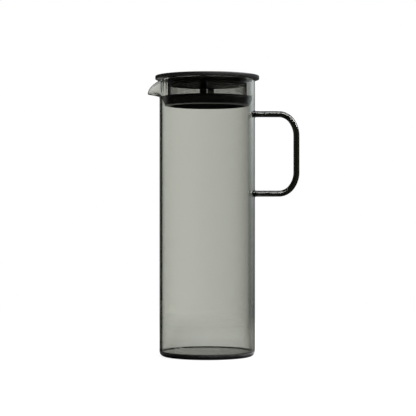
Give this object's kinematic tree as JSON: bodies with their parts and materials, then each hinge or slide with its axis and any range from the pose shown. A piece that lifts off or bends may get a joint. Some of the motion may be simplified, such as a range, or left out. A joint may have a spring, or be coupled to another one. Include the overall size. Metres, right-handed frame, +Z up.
{
  "type": "fruit infuser pitcher",
  "caption": "Tall smoked glass pitcher with a pulled spout, a bent glass rod handle and a round strainer lid with sieve windows and a soft seal.",
  "frame": {"origin": "centre of the flat base, on the axis of the glass tube, at the surface that it stands on", "axes": "+Z up along the tube's axis, -X towards the spout, +X towards the handle, -Y towards the front of the picture"},
  "size_m": [0.1431, 0.098, 0.2639],
  "materials": {
    "smoked_glass": "clear grey borosilicate glass, polished",
    "smoked_rod": "the same grey glass as a solid rod, so much darker",
    "black_plastic": "satin moulded polypropylene",
    "black_silicone": "soft silicone, matt",
    "sieve_steel": "fine woven wire"
  },
  "bodies": {
    "jug": {"glass_body": "smoked_glass", "handle": "smoked_rod"},
    "seal": {"seal_ring": "black_silicone"},
    "strainer": {"strainer_cage": "black_plastic", "sieve_front_right": "sieve_steel", "sieve_back_right": "sieve_steel", "sieve_back_left": "sieve_steel", "sieve_front_left": "sieve_steel"},
    "cap": {"lid_plate": "black_plastic"}
  },
  "joints": [
    {"name": "lid_lift", "type": "slide", "parent": "jug", "child": "seal", "axis": [0, 0, 1], "range_m": [0, 0.035]},
    {"name": "lid_turn", "type": "hinge", "parent": "seal", "child": "strainer", "pos_m": [0, 0, 0.2403], "axis": [0, 0, 1], "continuous": true},
    {"name": "cap_pull", "type": "slide", "parent": "strainer", "child": "cap", "axis": [0, 0, 1], "range_m": [0, 0.01]}
  ]
}
